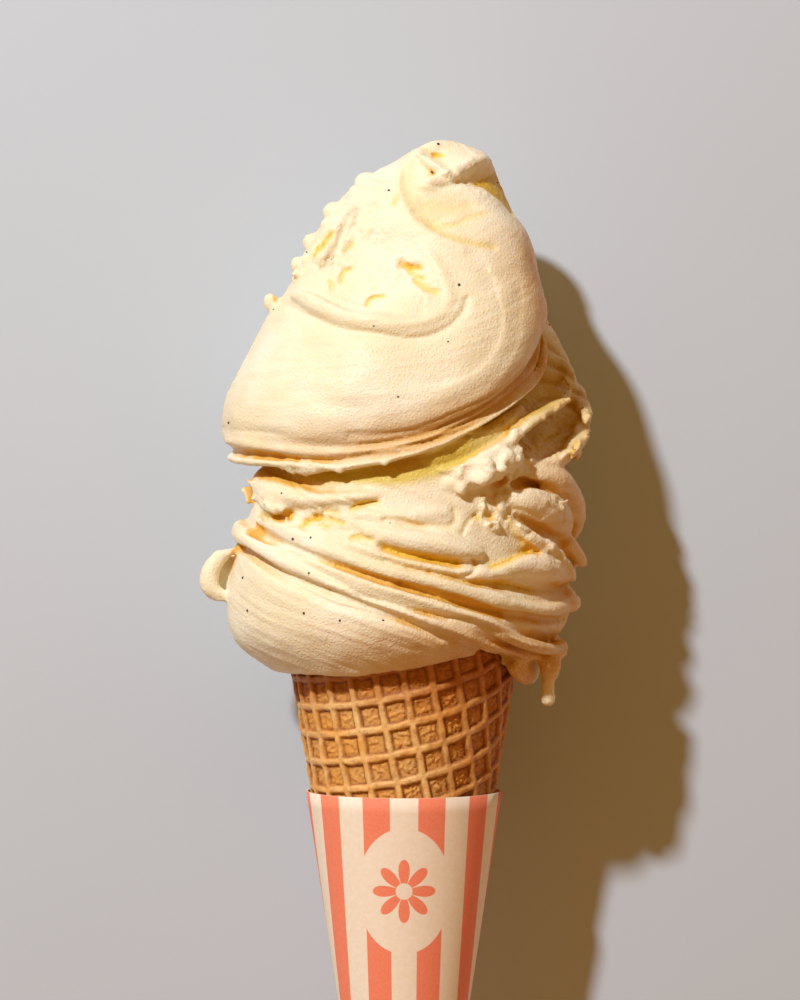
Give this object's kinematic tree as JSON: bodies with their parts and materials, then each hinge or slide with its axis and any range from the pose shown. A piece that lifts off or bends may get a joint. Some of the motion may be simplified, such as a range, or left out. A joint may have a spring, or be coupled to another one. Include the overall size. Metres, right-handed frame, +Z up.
{
  "type": "soft serve cone",
  "caption": "Swirled ice cream in a rolled waffle cone with a striped paper sleeve, lying on its back with the shown side up.",
  "frame": {"origin": "on the resting plane, under the middle of the part's box", "axes": "+Y along the cone towards the ice cream's peak, +Z up through the shown side, +X to the shown right"},
  "size_m": [0.0861, 0.2716, 0.072],
  "materials": {
    "ice_cream": "soft matt cream with a faint frost",
    "waffle": "baked golden brown",
    "sleeve_paper": "matt, printed with coral and cream stripes"
  },
  "bodies": {
    "root": {"ice_cream": "ice_cream", "waffle_cone": "waffle", "paper_sleeve": "sleeve_paper"}
  },
  "joints": []
}
